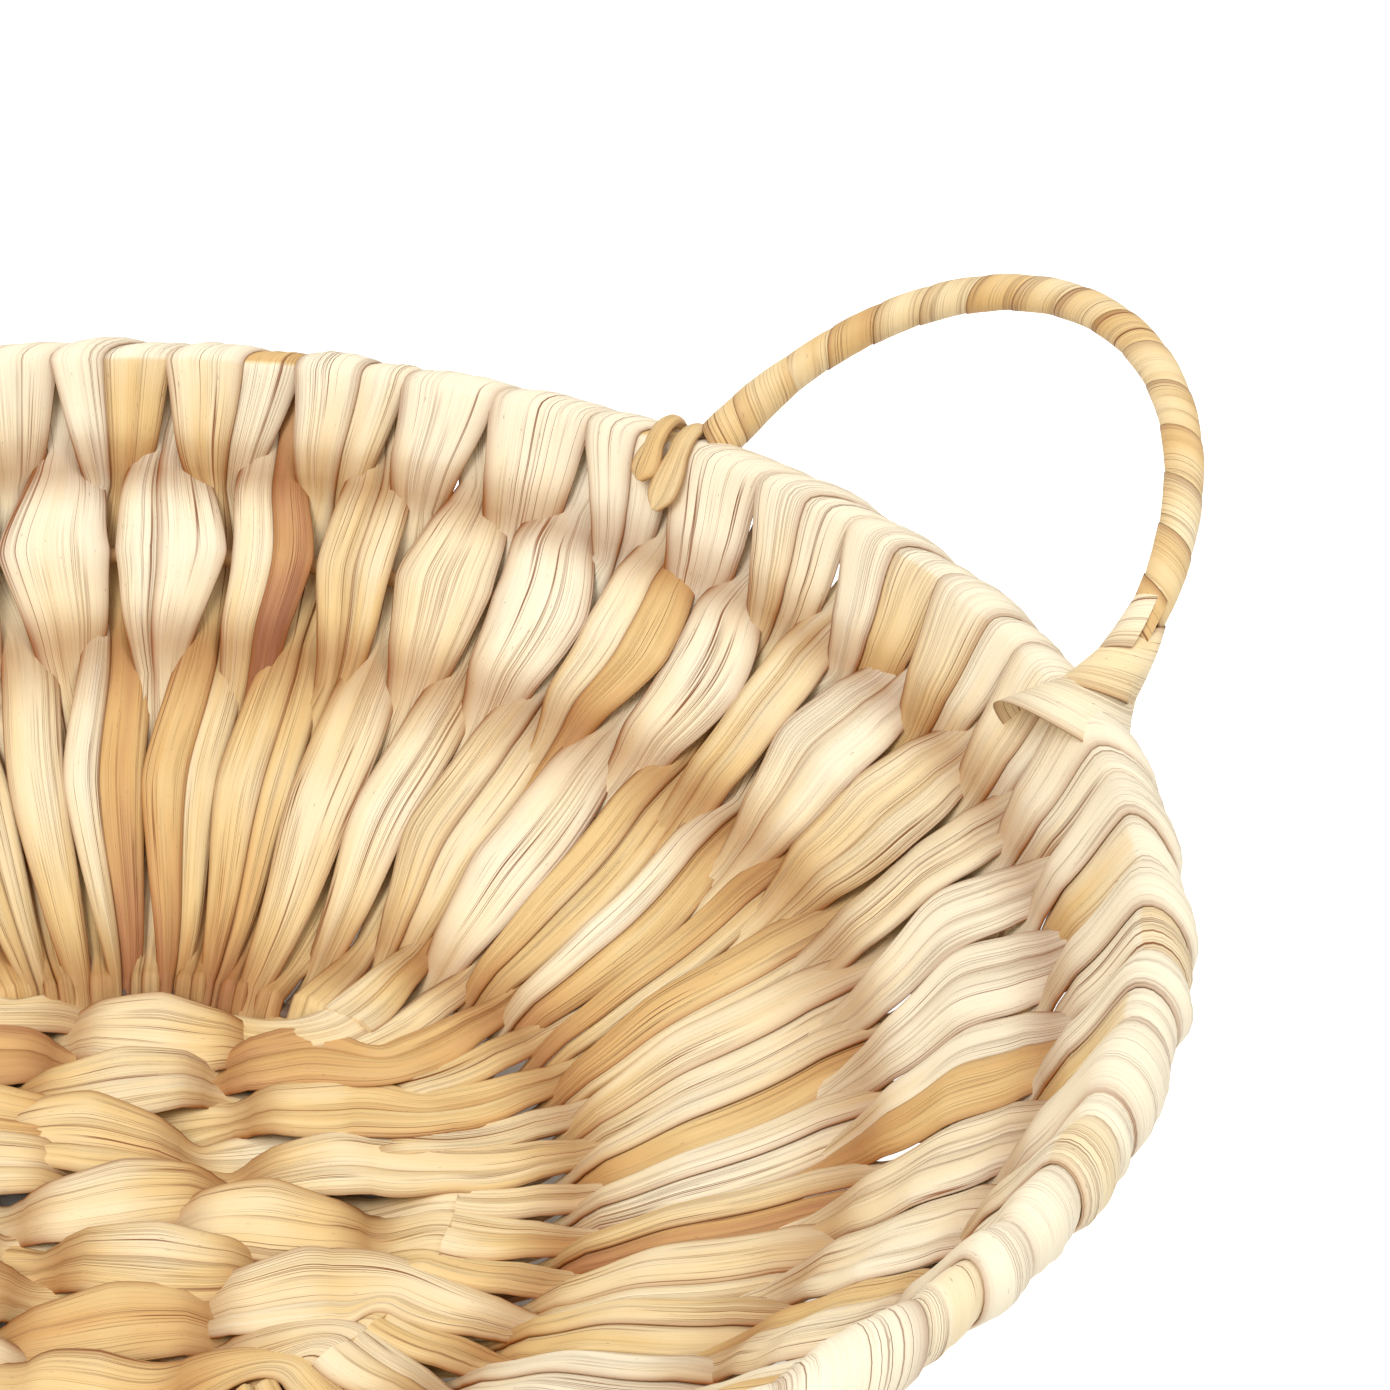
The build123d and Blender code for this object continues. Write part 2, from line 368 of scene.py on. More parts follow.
def make_piece(name, strands, tree, inputs, material):
    """One plain mesh of all the strands, swept by the tree."""
    count = [len(strand["points"]) for strand in strands]
    starts = np.cumsum([0] + count[:-1])
    edges = [(start + k, start + k + 1) for start, n in zip(starts, count) for k in range(n - 1)]
    mesh = bpy.data.meshes.new(name)
    mesh.from_pydata(np.concatenate([strand["points"] for strand in strands]), edges, [])
    for key in ("side", "face", "bow"):
        layer = mesh.attributes.new(key, "FLOAT_VECTOR", "POINT")
        values = [np.broadcast_to(strand.get(key, 0.0), (n, 3)) for strand, n in zip(strands, count)]
        layer.data.foreach_set("vector", np.concatenate(values).astype(np.float32).ravel())
    for key in ("half_width", "half_thick", "run", "tuck", "tone", "seed"):
        layer = mesh.attributes.new(key, "FLOAT", "POINT")
        values = [np.broadcast_to(strand[key], n) for strand, n in zip(strands, count)]
        layer.data.foreach_set("value", np.concatenate(values).astype(np.float32))
    piece = bpy.data.objects.new(name, mesh)
    bpy.context.scene.collection.objects.link(piece)
    modifier = piece.modifiers.new("Sweep", "NODES")
    modifier.node_group = tree
    given = {**inputs, "Material": material}
    for item in tree.interface.items_tree:
        if item.in_out == "INPUT" and item.name in given:
            modifier[item.identifier] = given[item.name]
    depsgraph = bpy.context.evaluated_depsgraph_get()
    swept = bpy.data.meshes.new_from_object(piece.evaluated_get(depsgraph), depsgraph=depsgraph)
    piece.modifiers.clear()
    piece.data = swept
    bpy.data.meshes.remove(mesh)
    shell = bmesh.new()
    shell.from_mesh(swept)
    bmesh.ops.recalc_face_normals(shell, faces=shell.faces)
    shell.to_mesh(swept)
    shell.free()
    return piece


# Weave lines

def eased(values, s, start):
    """A curve through the four values at s = 0, 1, 2 and 3 that never overshoots them, with its slope.
    Its slope at 0 is start times the first step."""
    steps = np.diff(values)
    inner = 2 * steps[:-1] * steps[1:] / (steps[:-1] + steps[1:])
    slopes = np.array([start * steps[0], *inner, (3 * steps[2] - inner[1]) / 2])
    k = np.clip(np.floor(s), 0, 2).astype(int)
    t = s - k
    bend = 3 * steps[k] - 2 * slopes[k] - slopes[k + 1]
    turn = slopes[k] + slopes[k + 1] - 2 * steps[k]
    place = values[k] + slopes[k] * t + bend * t**2 + turn * t**3
    return place, slopes[k] + 2 * bend * t + 3 * turn * t**2


def wall_line(s):
    """Radius, level and up-the-wall direction of the wall's middle line."""
    radius, radius_slope = eased(RADII, s, start=1)
    level, level_slope = eased(LEVELS, np.maximum(s, 0), start=0)
    length = np.hypot(radius_slope, level_slope)
    return radius, level, radius_slope / length, level_slope / length


def settled(centres, around):
    """Cells that tile a ring: each one's middle and width, between the halfway points to its neighbours."""
    before, after = np.roll(centres, 1), np.roll(centres, -1)
    before[0] -= around
    after[-1] += around
    return (before + 2 * centres + after) / 4, (after - before) / 2


def shaken(count, spacing, size):
    """Evenly spaced places, each moved by chance."""
    return spacing * (np.arange(count) + rng.uniform(-size, size, count))


# Middle and width of every leg, in rows, at the rings and halfway between them. At a ring the legs on
# one side of the wire tile it. Halfway, both legs of every row lie side by side.
AT_RING, HALFWAY = {}, {}
for ring, size in enumerate(RING_JITTER):
    AT_RING[True, ring] = settled(shaken(ROWS, 1, size), ROWS)
    middle, width = settled(shaken(ROWS, 1, size), ROWS)
    AT_RING[False, ring] = middle - 0.5, width
for gap in range(3):
    middle, width = settled(shaken(2 * ROWS, 0.5, NIP_JITTER), ROWS)
    HALFWAY[True, gap] = middle[0::2], width[0::2]
    HALFWAY[False, gap] = middle[1::2] - 1, width[1::2]


def weave_place(row, s):
    """How far along the weave a place is: whole at a wire, and halfway where the legs cross. The legs of
    a tucked row don't cross again below the lower hoop."""
    places = [0, NIP_PLACES[0], 1, NIP_PLACES[1], 2, NIP_PLACES[2], 3]
    crossing = np.where(s < 0, s, np.interp(s, places, np.arange(7) / 2))
    return np.where(s < 1, crossing + (0.5 + 0.5 * s - crossing) * TUCKED[row], crossing)


def cell(row, inner, s):
    """A leg's middle and width along the wall, in rows."""
    s = weave_place(row, s)
    ring = np.clip(np.round(s), 0, 3).astype(int)
    gap = np.clip(np.floor(s), 0, 2).astype(int)
    away = np.clip(np.abs(s - ring) * 2, 0, 1)
    rings = np.array([[AT_RING[inner, k][part][row] for k in range(4)] for part in (0, 1)])
    halves = np.array([[HALFWAY[inner, k][part][row] for k in range(3)] for part in (0, 1)])
    ease = away * away * (3 - 2 * away)
    middle = rings[0][ring] * (1 - ease) + halves[0][gap] * ease
    wave = np.sin(pi * np.maximum(s, 0))
    s = s + NECK_SHIFT * wave * np.abs(wave) * (1 if inner else -1)
    ring = np.clip(np.round(s), 0, 3).astype(int)
    swell = 1 - np.clip(np.abs(s - ring) * 2, 0, 1) ** np.where(ring == 3, RIM_TAPER, LENS_TAPER)
    inside = (ring % 2 == 1) == inner
    cover = np.where(inside, np.take(FRONT_COVER, ring), np.take(BACK_COVER, ring))
    cover -= TUCKED_COVER * TUCKED[row] * inside * (ring == 2)
    return middle, halves[1][gap] * np.take(NIP_COVER, gap) * (1 - swell) + rings[1][ring] * cover * swell


def right_row(index):
    """The wall row on the side of +X that a base stalk runs on into."""
    return int(index - BASE_STALKS / 2 - WEAVE_TURN_ROWS + 0.5) % ROWS


def left_row(index):
    """The wall row on the side of -X that a base stalk starts from."""
    return int(ROWS / 2 + BASE_STALKS / 2 - WEAVE_TURN_ROWS - 0.5 - index) % ROWS


# Rows that no base stalk runs on into: their lower ends are tucked under the base's outer stalks
THROUGH = [side(index) for side in (right_row, left_row) for index in range(BASE_STALKS)]
TUCKED = np.array([row not in THROUGH for row in range(ROWS)], float)
TUCKED *= (np.roll(TUCKED, 1) + np.roll(TUCKED, -1)) / 2

LIFTS = rng.uniform(*RIM_LIFT, ROWS)
SINKS = {inner: rng.uniform(-NIP_DEPTH, NIP_DEPTH, (ROWS, 3)) for inner in (True, False)}
SINKS[True] += NIP_ORDER
SINKS[False] -= NIP_ORDER
LENS_TONES = {inner: rng.choice(LENS_TONE_STEPS, (ROWS, 4)) for inner in (True, False)}
for tones in LENS_TONES.values():
    tones[:, 0] = 0
    tones[:, 3] *= RIM_LENS_TONE


def weave(place, ridge):
    """How far a stalk is to one side of its wires (-1 to 1), and its share of full width, along a weave."""
    away = np.abs(place - np.round(place))
    height = np.cos(pi * place)
    plateau = np.minimum(1, FLAT_STEEPNESS * np.abs(height))
    rise = FLAT_SHARE * plateau + (1 - FLAT_SHARE) * np.exp(-((away / ridge) ** 2))
    return np.sign(height) * rise, 1 - 2 * away


def half_thickness(swell):
    """Half a stalk's thickness, from its nips to its broad places."""
    return STALK_THICKNESS / 2 * (NIPPED_THICKNESS + (1 - NIPPED_THICKNESS) * swell)


def polar_points(radius, azimuth, level):
    """Points given by their distance from the middle of the bowl, azimuth and level."""
    return np.stack([radius * np.cos(azimuth), radius * np.sin(azimuth), level], 1)


def turning(angle):
    """The matrix that turns points, one a line, about the middle of the bowl."""
    return np.array(Matrix.Rotation(angle, 3, "Z")).T


def frame_vectors(azimuth, out_r, out_z):
    """The directions round the bowl and out of the wall at an azimuth."""
    zero = np.zeros_like(azimuth)
    side = np.stack([-np.sin(azimuth), np.cos(azimuth), zero], 1)
    face = np.stack([out_r * np.cos(azimuth), out_r * np.sin(azimuth), out_z + zero], 1)
    return side, face


def rolled(side, face, angle):
    """Turns a stalk about its own length."""
    angle = np.broadcast_to(angle, len(side))[:, None]
    return side * np.cos(angle) + face * np.sin(angle), face * np.cos(angle) - side * np.sin(angle)


def leg(row, inner, s):
    """One leg of a row's stalk on the wall. The inner leg is inside the bowl at the rim."""
    radius, level, up_r, up_z = wall_line(s)
    facing = 1 if inner else -1
    along = np.maximum(weave_place(row, s), 0)
    side_of_wire, swell = weave(along, np.where(along < 0.5, FOOT_RIDGE, RIDGE))
    lift = np.interp(s, range(4), OFFSETS) + LIFTS[row] * np.clip(s - 2, 0, 1) ** 2
    out = facing * lift * side_of_wire
    gap = np.clip(np.floor(s), 0, 2).astype(int)
    out += SINKS[inner][row][gap] * np.sin(pi * along) ** 2
    out -= TUCKED[row] * OFFSETS[0] * np.exp(-((s / TUCK_REACH) ** 2))
    if not inner or TUCKED[row]:
        out = np.where(s < 0, out * (1 - TAIL_DIVE * np.minimum(-s / TAIL, 1)), out)
    middle, width = cell(row, inner, s)
    azimuth = middle * PITCH
    broader = np.clip(width - 1, *LENS_RISE_RANGE)
    out += side_of_wire * facing * broader * LENS_RISE * (s < LENS_RISE_TOP)
    side, face = frame_vectors(azimuth, -facing * up_z, facing * up_r)
    side, face = rolled(side, face, facing * SHINGLE * (1 - swell))
    return {
        "points": polar_points(radius + out * up_z, azimuth, level - out * up_r),
        "side": side,
        "face": face,
        "half_width": width * PITCH * radius / 2,
        "half_thick": half_thickness(swell),
        "tuck": 1 - swell,
        "tone": np.interp(s, range(4), LENS_TONES[inner][row] + HEIGHT_LIGHT_AND_SHADE),
    }


def fold(row):
    """The turn over the rim wire between the ends of a row's two legs."""
    swing = np.linspace(0, pi, FOLD_STEPS + 2)[1:-1]
    rim = np.array([3.0])
    radius, level, up_r, up_z = (float(v[0]) for v in wall_line(rim))
    share = (1 - np.cos(swing)) / 2
    (start, start_width), (end, end_width) = (cell(row, inner, rim) for inner in (True, False))
    azimuth = (start + (end - start) * share) * PITCH
    inward, upward = np.cos(swing), np.sin(swing)
    out_r, out_z = -inward * up_z + upward * up_r, inward * up_r + upward * up_z
    lift = OFFSETS[3] + LIFTS[row]
    tones = [LENS_TONES[inner][row][3] + HEIGHT_LIGHT_AND_SHADE[3] for inner in (True, False)]
    side, face = frame_vectors(azimuth, out_r, out_z)
    return {
        "points": polar_points(radius + lift * out_r, azimuth, level + lift * out_z),
        "side": side,
        "face": face,
        "half_width": (start_width * (1 - share) + end_width * share) * PITCH * radius / 2,
        "half_thick": np.full(FOLD_STEPS, STALK_THICKNESS / 2),
        "tuck": np.zeros(FOLD_STEPS),
        "tone": tones[0] * (1 - share) + tones[1] * share,
    }


def joined(parts, tone, seed, run=0.0):
    """Parts of one stalk in a row, with the length run along it."""
    strand = {key: np.concatenate([part[key] for part in parts]) for key in parts[0]}
    steps = np.linalg.norm(np.diff(strand["points"], axis=0), axis=1)
    strand["run"] = run + np.concatenate([[0], np.cumsum(steps)])
    strand["tone"] = strand["tone"] + tone
    strand["seed"] = seed
    return strand


CREASES = rng.uniform(*CREASE_RANGE, ROWS)
FOLDED = rng.random(ROWS) < FOLDED_SHARE


def slices(strand, row, accents=()):
    """The stalk in one piece, or folded along its length with one part lapping the other. An accent
    colours the right or left part of the stalk."""
    if not (FOLDED[row] or accents):
        return [strand]
    crease = CREASES[row]
    halves = (("right", -1, crease + FOLD_LAP, FOLD_SINK), ("left", crease - FOLD_LAP, 1, 0.0))
    parts = []
    for name, low, high, sink in halves:
        part = dict(strand)
        aside = (low + high) / 2 * strand["half_width"]
        part["points"] = strand["points"] + strand["side"] * aside[:, None] - strand["face"] * sink
        part["half_width"] = strand["half_width"] * (high - low) / 2
        part["seed"] = strand["seed"] + sink * FOLD_SEED
        for where, tone in accents:
            if where == name:
                part["tone"] = part["tone"] + tone
        parts.append(part)
    return parts


def reversed_part(part):
    """The same part run the other way."""
    return {key: values[::-1] for key, values in part.items()}


WALL_LENGTH = sum(hypot(RADII[k + 1] - RADII[k], LEVELS[k + 1] - LEVELS[k]) for k in range(3))
TONES = rng.choice(TONE_STEPS, ROWS, p=TONE_ODDS)
SEEDS = rng.uniform(0, 1, ROWS)
ROWS_AWAY = (np.arange(ROWS) - PALE_ROW + ROWS / 2) % ROWS - ROWS / 2
TONES -= PALE_GAIN * np.exp(-((ROWS_AWAY / PALE_REACH) ** 2))


def climb(start):
    """Stations up the wall from s = start to the rim."""
    return np.linspace(start, 3, int(WALL_LENGTH * WALL_CURVE / STATION))


def wall_stalk(row, through, tone, seed):
    """A row's stalk: up the wall, over the rim and down. One that runs through stops at the base ring."""
    down = reversed_part(leg(row, False, climb(0 if through else -TAIL)))
    strand = joined([leg(row, True, climb(-TAIL)), fold(row), down], tone, seed)
    high = np.clip((strand["points"][:, 2] - LEVELS[2]) / (LEVELS[3] - LEVELS[2]), 0, 1)
    # Painted light towards the rim
    strand["tone"] = strand["tone"] - RIM_PAINTED_LIGHT * tone * high
    return strand


# Base

SLIPS = rng.uniform(-BASE_SLIP, BASE_SLIP, BASE_STALKS)
SPREADS = rng.uniform(*BASE_SPREAD, BASE_STALKS)
SWAYS = rng.uniform(*BASE_SWAY, BASE_STALKS) * BASE_TWIST
SWAYS *= np.where(np.arange(BASE_STALKS) // 2 % 2, 1, -1)
SWAYS[1::2] *= -1


def base_line(index):
    """A stalk across the middle of the base, over and under the cross wires."""
    y = (index - (BASE_STALKS - 1) / 2) * BASE_PITCH
    reach = (RADII[0] ** 2 - y * y) ** 0.5 - BRIDGE
    x = np.linspace(-reach, reach, int(2 * reach / STATION) + 2)
    place = (x + SLIPS[index]) / CROSS_WIRE_SPACING
    over = 1 if index % 2 == 0 else -1
    height, swell = weave(place, FOOT_RIDGE)
    height = height * over * (CROSS_WIRE + STALK_THICKNESS / 2 + STALK_SEAT)
    wave = np.sin(pi * place)
    place = place - over * NECK_SHIFT * wave * np.abs(wave)
    broad = 1 - (2 * np.abs(place - np.round(place))) ** LENS_TAPER
    cover = BASE_NIP_COVER * (1 - broad) + SPREADS[index] * broad
    edge = max(abs(y) / RADII[0] - BASE_EDGE_START, 0) / (1 - BASE_EDGE_START)
    fade = 1 - (x / reach) ** 4
    bow = edge * BASE_BOW * np.sign(y) * (1 - (x / reach) ** 2)
    bow += SWAYS[index] * np.sin(pi * x / CROSS_WIRE_SPACING) * fade
    zero = np.zeros_like(x)
    turn = turning(WEAVE_TURN)
    side = np.stack([zero, zero + 1, zero], 1) @ turn
    face = np.stack([zero, zero, zero - 1], 1)
    side, face = rolled(side, face, -BASE_SHINGLE * fade)
    return {
        "points": np.stack([x, y + bow, CROSS_LEVEL + height + edge * BASE_EDGE_LIFT], 1) @ turn,
        "side": side,
        "face": face,
        "half_width": BASE_PITCH * cover * (1 + BASE_EDGE_WIDER * edge) / 2,
        "half_thick": half_thickness(swell),
        "tuck": 1 - swell,
        "tone": HEIGHT_LIGHT_AND_SHADE[0] + BASE_TONE_WAVE * np.sin(pi * x / CROSS_WIRE_SPACING + index),
    }


def bridge(before, after):
    """A smooth run from the end of one part to the start of the next, without those end stations."""
    ends = [before["points"][-1], after["points"][0]]
    length = np.linalg.norm(ends[1] - ends[0])
    slopes = [before["points"][-1] - before["points"][-2], after["points"][1] - after["points"][0]]
    slopes = [slope / np.linalg.norm(slope) * length for slope in slopes]
    t = np.linspace(0, 1, int(length / STATION) + 3)[1:-1, None]
    points = (2 * t**3 - 3 * t**2 + 1) * ends[0] + (t**3 - 2 * t**2 + t) * slopes[0]
    points += (3 * t**2 - 2 * t**3) * ends[1] + (t**3 - t**2) * slopes[1]
    ease = t * t * (3 - 2 * t)
    part = {"points": points}
    for key in ("side", "face"):
        blend = before[key][-1] * (1 - ease) + after[key][0] * ease
        part[key] = blend / np.linalg.norm(blend, axis=1)[:, None]
    for key in ("half_width", "half_thick", "tuck", "tone"):
        part[key] = (before[key][-1] * (1 - ease) + after[key][0] * ease)[:, 0]
    return part


def flipped(part):
    """The same stalk with its left and right exchanged."""
    return {key: -values if key == "side" else values for key, values in part.items()}


def swollen(strand, index, distance):
    """A through stalk near the base ring. Every second one is broad there and lies over its neighbours."""
    near = np.exp(-((distance / SWELL_REACH) ** 2)) * (1 if index % 2 else SWELL_UNDER)
    upward = np.sign(strand["face"][:, 2:])
    strand["half_width"] = strand["half_width"] * (1 + RING_SWELL * near)
    strand["points"] = strand["points"] + strand["face"] * upward * (RING_RISE * near)[:, None]
    return strand


def base_stalk(index, tone, seed, run):
    """One stalk across the base, from the wall leg it leaves to the one it runs on into."""
    foot = np.array([0.0, FOOT_STEP])
    start = flipped(leg(left_row(index), False, foot))
    end = leg(right_row(index), False, foot)
    middle = base_line(index)
    tip = {key: values[:1] for key, values in start.items()}
    first = reversed_part(bridge(reversed_part(middle), start))
    last = {key: values[:1] for key, values in end.items()}
    strand = joined([tip, first, middle, bridge(middle, end), last], tone, seed, run)
    length = strand["run"] - strand["run"][0]
    return swollen(strand, index, np.minimum(length, length[-1] - length))


# Handles

FOOT_ANGLE = ROWS_BETWEEN_FEET * PITCH / 2
HANDLE_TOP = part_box("handle_wire_right")[1]
FOOT_X, FOOT_Y = RADII[3] * cos(FOOT_ANGLE), RADII[3] * sin(FOOT_ANGLE)
HANDLE_OUT = HANDLE_TOP.x - HANDLE_WIRE - FOOT_X
HANDLE_UP = HANDLE_TOP.z - HANDLE_WIRE - LEVELS[3]


def handle_line():
    """Points and directions along the handle on +X, from its foot on +Y to the one on -Y, with the run."""
    swing = np.linspace(0, pi, HANDLE_STATIONS)
    points = np.stack([FOOT_X + HANDLE_OUT * np.sin(swing), FOOT_Y * np.cos(swing),
                       LEVELS[3] + HANDLE_UP * np.sin(swing)], 1)
    steps = np.linalg.norm(np.diff(points, axis=0), axis=1)
    along = np.gradient(points, axis=0)
    return points, along / np.linalg.norm(along, axis=1)[:, None], np.concatenate([[0], np.cumsum(steps)])


def wound_strip(start, end, turns, radii, tone, seed):
    """A leaf strip wound round the handle between two places on it, each turn lapping the one before."""
    points, along, length = handle_line()
    place = np.linspace(0, 1, int(turns * TURN_STATIONS))
    turn = place * turns
    run = start + (end - start) * place
    middle = np.stack([np.interp(run, length, points[:, axis]) for axis in range(3)], 1)
    beyond = np.minimum(run, 0) + np.maximum(run - length[-1], 0)
    tangent = np.stack([np.interp(run, length, along[:, axis]) for axis in range(3)], 1)
    tangent /= np.linalg.norm(tangent, axis=1)[:, None]
    middle += tangent * beyond[:, None]
    flat = np.array([HANDLE_UP, 0, -HANDLE_OUT]) / hypot(HANDLE_OUT, HANDLE_UP)
    normal = np.cross(flat, tangent)
    angle = (turn * 2 * pi)[:, None]
    outward = flat * np.cos(angle) + normal * np.sin(angle)
    radius = np.interp(place, np.linspace(0, 1, len(radii)), radii)
    spine = middle + outward * radius[:, None]
    lap = np.arctan(STRIP_LAP * STRIP_THICKNESS / STRIP_WIDTH) * np.sign(end - start)
    cone = np.arctan(np.gradient(radius, run))
    side, face = rolled(tangent, outward, cone - lap)
    strand = {
        "points": spine,
        "side": side,
        "face": face,
        "bow": np.gradient(tangent, run, axis=0) / 2,
        "half_width": np.full(len(spine), STRIP_WIDTH / 2),
        "half_thick": np.full(len(spine), STRIP_THICKNESS / 2),
        "tuck": np.zeros(len(spine)),
        "tone": sum(size * np.sin(turn * pace + seed * shift) for size, pace, shift in STRIP_TONE_WAVES),
    }
    return joined([strand], tone, seed)


def tie(row, run_down, width, tone, seed):
    """The end of a leaf strip hung over the rim and down the inside of the wall."""
    swing = np.linspace(TIE_SWING, 0, TIE_OVER)
    s = np.linspace(3, run_down, TIE_DOWN + 1)[1:]
    radius, level, up_r, up_z = wall_line(np.concatenate([np.full(TIE_OVER, 3.0), s]))
    inward = np.concatenate([np.cos(swing), np.ones(TIE_DOWN)])
    upward = np.concatenate([np.sin(swing), np.zeros(TIE_DOWN)])
    out_r, out_z = -inward * up_z + upward * up_r, inward * up_r + upward * up_z
    settling = np.linspace(TIE_LIFT, OFFSETS[3] + STALK_THICKNESS, TIE_DOWN)
    lift = np.concatenate([np.full(TIE_OVER, TIE_LIFT), settling])
    count = TIE_OVER + TIE_DOWN
    azimuth = np.full(count, row * PITCH)
    side, face = frame_vectors(azimuth, out_r, out_z)
    belly = TIE_NECK + (1 - TIE_NECK) * np.sin(np.linspace(0, 2, TIE_DOWN - len(TIE_TIP)))
    taper = np.concatenate([np.linspace(TIE_START, TIE_NECK, TIE_OVER), belly, TIE_TIP])
    strand = {
        "points": polar_points(radius + lift * out_r, azimuth, level + lift * out_z),
        "side": side,
        "face": face,
        "half_width": taper * width / 2,
        "half_thick": np.full(count, TIE_THICKNESS / 2),
        "tuck": np.zeros(count),
        "tone": np.zeros(count),
    }
    return joined([strand], tone, seed)


def turned(strand, swing):
    """A strand turned about the basket's middle. The slight bow of its edges isn't turned with it."""
    turn = turning(swing)
    return {key: value @ turn if key in ("points", "side", "face") else value
            for key, value in strand.items()}


# Materials

def srgb(red, green, blue):
    """A colour given in 0 to 255 steps, as the shader's linear values."""
    linear = [((c / 255 + 0.055) / 1.055) ** 2.4 if c > 10 else c / 255 / 12.92 for c in (red, green, blue)]
    return (*linear, 1.0)


class MaterialTree(Tree):
    """A material with one surface shader."""

    def __init__(self, name):
        self.material = bpy.data.materials.new(name)
        self.material.use_nodes = True
        super().__init__(self.material.node_tree)
        self.shader = self.nodes["Principled BSDF"]

    def attribute(self, name):
        return self.node("ShaderNodeAttribute", {"attribute_name": name}, out=2)

    def ramp(self, value, stops):
        node = self.nodes.new("ShaderNodeValToRGB")
        elements = node.color_ramp.elements
        while len(elements) < len(stops):
            elements.new(0.5)
        for element, (place, colour) in zip(elements, stops):
            element.position = place
            element.color = colour
        self.links.new(value.socket, node.inputs[0])
        return Value(self, node.outputs[0])

    def mix(self, share, first, second):
        node = self.nodes.new("ShaderNodeMix")
        node.data_type = "RGBA"
        for key, value in ((0, share), (6, first), (7, second)):
            if isinstance(value, Value):
                self.links.new(value.socket, node.inputs[key])
            else:
                node.inputs[key].default_value = value
        return Value(self, node.outputs[2])

    def set(self, **sockets):
        for key, value in sockets.items():
            socket = self.shader.inputs[key.replace("_", " ")]
            if isinstance(value, Value):
                self.links.new(value.socket, socket)
            else:
                socket.default_value = value
        return self.material


STALK_COLOURS = (
    (0.00, srgb(251, 239, 210)),
    (0.20, srgb(246, 226, 184)),
    (0.40, srgb(235, 203, 142)),
    (0.58, srgb(220, 175, 110)),
    (0.80, srgb(190, 134, 88)),
    (1.00, srgb(154, 96, 66)),
)
STRIP_COLOURS = (
    (0.00, srgb(247, 232, 198)),
    (0.20, srgb(243, 220, 172)),
    (0.40, srgb(230, 194, 132)),
    (0.58, srgb(212, 168, 108)),
    (0.80, srgb(168, 132, 98)),
    (1.00, srgb(138, 108, 82)),
)
FIBRE_COLOUR = srgb(194, 142, 80)
LINE_COLOUR = srgb(132, 72, 16)
# Brown of the edges and tucked places: partly the stalk's own tannin brown, partly painted shade in creases
# and crevices
BROWN_EDGE_AND_SHADE_COLOUR = srgb(146, 80, 12)
SPECK_COLOUR = srgb(110, 66, 38)

# Streaks of the stalks: how close across, how close along, and a layer number
BAND = (1.6, 9, 1)
PATCH = (0.7, 30, 2)
GRAIN = (36, 16, 3)
LINE = (4.0, 2.5, 4)
LINE_PARTS = (1.2, 30, 5)
HAIR = (15, 4, 6)
HAIR_PARTS = (2.0, 34, 7)
SPECK_ACROSS = 22
SPECK_ALONG = 500
LANE_SHIFT = 40
BAND_GAIN = 0.34
PATCH_GAIN = 0.34
# Painted shade, partly the stalk's browner tips: darker where a stalk is tucked under its neighbour
TUCK_SHADE_GAIN = 0.16


def stalk_material(name, colours):
    """Dried stalk: straw colours with lengthwise fibres. Browner at the edges and where it is tucked under
    its neighbours, partly the stalk's own tannin brown and partly painted shade in creases and crevices.
    """
    tree = MaterialTree(name)
    across, run, seed = (tree.attribute(key) for key in ("across", "run", "seed"))
    tone, tuck = tree.attribute("tone"), tree.attribute("tuck")
    lane = across + seed * LANE_SHIFT

    def streaks(spread, length, layer, detail=2.0):
        return tree.noise(tree.vector(lane * spread, run * length, seed * 9 + layer), detail=detail)

    def lines(pattern, width):
        return (1 - abs(streaks(*pattern) * 2 - 1)).smooth(1 - width, 1.0)

    band = streaks(*BAND)
    patch = streaks(*PATCH)
    grain = streaks(*GRAIN, 4.0)
    line = lines(LINE, 0.035) * streaks(*LINE_PARTS).smooth(0.44, 0.58)
    hair = lines(HAIR, 0.10) * streaks(*HAIR_PARTS).smooth(0.42, 0.60)
    speck = tree.noise(tree.vector(lane * SPECK_ACROSS, run * SPECK_ALONG, seed * 3), detail=1.0)
    # The tuck term is painted shade where the stalk dives under its neighbour, partly its browner tips
    shade = tone + (band - 0.5) * BAND_GAIN + (patch - 0.5) * PATCH_GAIN + tuck * TUCK_SHADE_GAIN
    colour = tree.ramp(shade, colours)
    colour = tree.mix((grain - 0.4) * 0.5, colour, FIBRE_COLOUR)
    colour = tree.mix(line * 0.95 + hair * 0.5, colour, LINE_COLOUR)
    # Painted shade, partly the stalk's own tannin brown: browner towards the edges and where the stalk is
    # tucked under its neighbours
    edge = (abs(across) ** 6) * 0.65 + tuck.smooth(0.45, 1.05) * 0.52
    colour = tree.mix(edge, colour, BROWN_EDGE_AND_SHADE_COLOUR)
    colour = tree.mix(speck.smooth(0.74, 0.80) * 0.5, colour, SPECK_COLOUR)
    relief = grain * 0.35 - line * 0.5 - hair * 0.35
    bump = tree.node("ShaderNodeBump", None, Strength=0.5, Distance=0.0005, Height=relief)
    return tree.set(Base_Color=colour, Roughness=0.52 + (grain - 0.5) * 0.25, Normal=bump)


def wire_material(name, dark, pale):
    """Wire or a wound hoop, under a coat that is worn in places."""
    tree = MaterialTree(name)
    place = tree.node("ShaderNodeTexCoord", out=3)
    worn = tree.noise(place, scale=260.0, detail=3.0)
    colour = tree.mix(worn, dark, pale)
    return tree.set(Base_Color=colour, Roughness=0.4 + worn * 0.2)


# Build

